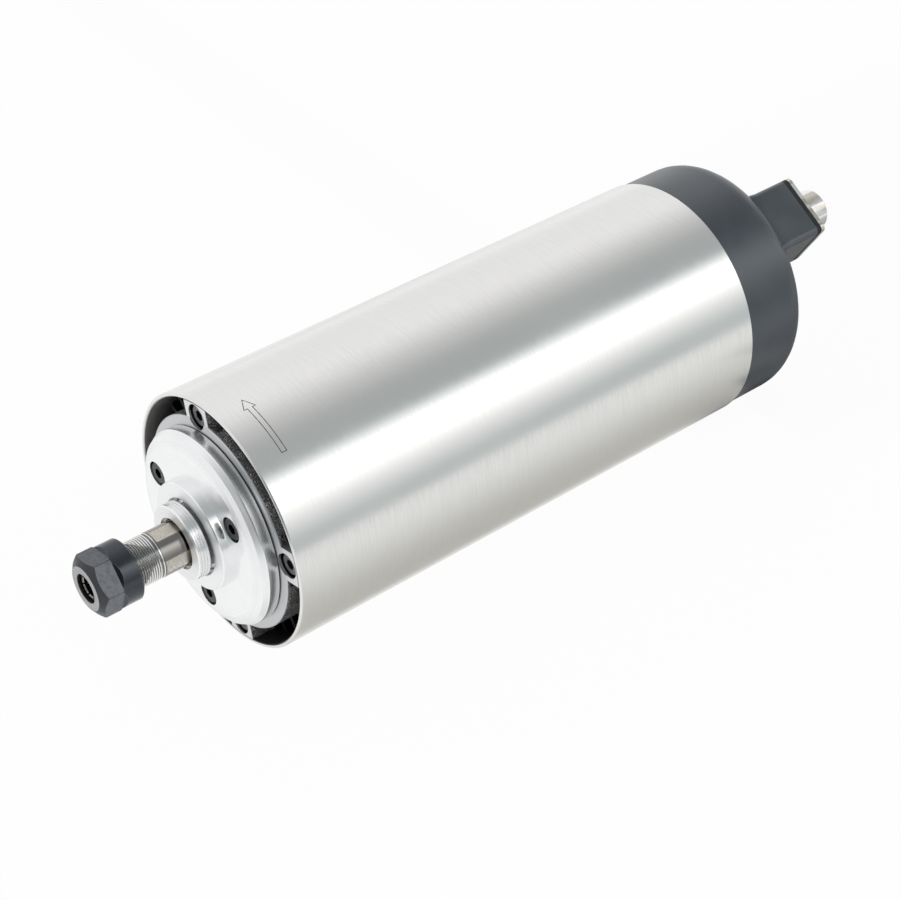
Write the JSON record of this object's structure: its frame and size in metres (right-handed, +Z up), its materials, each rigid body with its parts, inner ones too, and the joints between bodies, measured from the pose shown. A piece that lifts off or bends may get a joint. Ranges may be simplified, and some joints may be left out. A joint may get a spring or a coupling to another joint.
{
  "type": "motor spindle",
  "caption": "Round air-cooled motor spindle with a clampable steel body, a collet nut on a flatted shaft, a bolted front cover and a rear cap with a panel connector.",
  "frame": {"origin": "on the spindle axis, in the plane of the body tube's front rim", "axes": "+X along the axis from the collet nose to the rear cap, +Z up as the spindle lies in the picture, +Y to the left when looking from the nose to the rear"},
  "size_m": [0.2712, 0.08, 0.08],
  "materials": {
    "tube_steel": "satin stainless steel",
    "housing_aluminium": "cast, with turned faces",
    "polished_aluminium": "polished",
    "turned_aluminium": "fine turned",
    "black_steel": "black oxide",
    "shaft_steel": "ground",
    "collet_steel": "ground",
    "nut_black": "black oxide, satin",
    "bearing_steel": "ground and polished",
    "cage_resin": "resin bonded cloth",
    "black_aluminium": "black anodised",
    "lamination_steel": "varnished laminations",
    "winding_copper": "varnished copper wire",
    "fan_plastic": "moulded",
    "cap_plastic": "satin moulded",
    "black_rubber": "matte",
    "shell_nickel": "nickel plated",
    "insert_plastic": "moulded",
    "pin_gold": "gold plated",
    "lead_insulation": "silicone insulation"
  },
  "bodies": {
    "housing": {"body_tube": "tube_steel", "front_housing": "housing_aluminium", "front_cover": "polished_aluminium", "cover_screws": "black_steel", "ear_screws": "black_steel", "front_bearing_a_outer": "bearing_steel", "front_bearing_b_outer": "bearing_steel", "outer_spacer": "bearing_steel", "rear_bearing_outer": "bearing_steel", "wave_spring": "bearing_steel", "rear_housing": "housing_aluminium", "rear_housing_screws": "black_steel", "lead_grommet": "black_rubber", "motor_jacket": "black_aluminium", "stator_core": "lamination_steel", "stator_winding": "winding_copper", "rear_cap": "cap_plastic", "cap_screws": "black_steel", "connector_gasket": "black_rubber", "connector_shell": "shell_nickel", "connector_insert": "insert_plastic", "connector_pins": "pin_gold", "connector_screws": "shaft_steel", "leads": "lead_insulation"},
    "rotor": {"shaft": "shaft_steel", "labyrinth_ring": "turned_aluminium", "front_bearing_a_inner": "bearing_steel", "inner_spacer": "bearing_steel", "front_bearing_b_inner": "bearing_steel", "rear_bearing_inner": "bearing_steel", "rotor_core": "lamination_steel", "rotor_cage": "turned_aluminium", "cooling_fan": "fan_plastic", "fan_retaining_ring": "black_steel"},
    "ball_set_a": {"front_bearing_a_cage": "cage_resin", "front_bearing_a_balls": "bearing_steel"},
    "ball_set_b": {"front_bearing_b_cage": "cage_resin", "front_bearing_b_balls": "bearing_steel"},
    "ball_set_rear": {"rear_bearing_cage": "cage_resin", "rear_bearing_balls": "bearing_steel"},
    "collet": {"collet": "collet_steel"},
    "nut": {"collet_nut": "nut_black"}
  },
  "joints": [
    {"name": "shaft_spin", "type": "hinge", "parent": "housing", "child": "rotor", "pos_m": [0, 0, 0], "axis": [1, 0, 0], "continuous": true},
    {"name": "ball_set_a_spin", "type": "hinge", "parent": "housing", "child": "ball_set_a", "pos_m": [0, 0, 0], "axis": [1, 0, 0], "continuous": true},
    {"name": "ball_set_b_spin", "type": "hinge", "parent": "housing", "child": "ball_set_b", "pos_m": [0, 0, 0], "axis": [1, 0, 0], "continuous": true},
    {"name": "ball_set_rear_spin", "type": "hinge", "parent": "housing", "child": "ball_set_rear", "pos_m": [0, 0, 0], "axis": [1, 0, 0], "continuous": true},
    {"name": "collet_slide", "type": "slide", "parent": "rotor", "child": "collet", "axis": [-1, 0, 0], "range_m": [0, 0.0076]},
    {"name": "nut_turn", "type": "hinge", "parent": "collet", "child": "nut", "pos_m": [-0.037, 0, 0], "axis": [-1, 0, 0], "range_deg": [0, 3600]}
  ],
  "couplings": [
    {"joint": "ball_set_a_spin", "follows": "shaft_spin", "ratio": 0.402},
    {"joint": "ball_set_b_spin", "follows": "shaft_spin", "ratio": 0.402},
    {"joint": "ball_set_rear_spin", "follows": "shaft_spin", "ratio": 0.381},
    {"joint": "collet_slide", "follows": "nut_turn", "m_per_rad": 0.00011937}
  ]
}
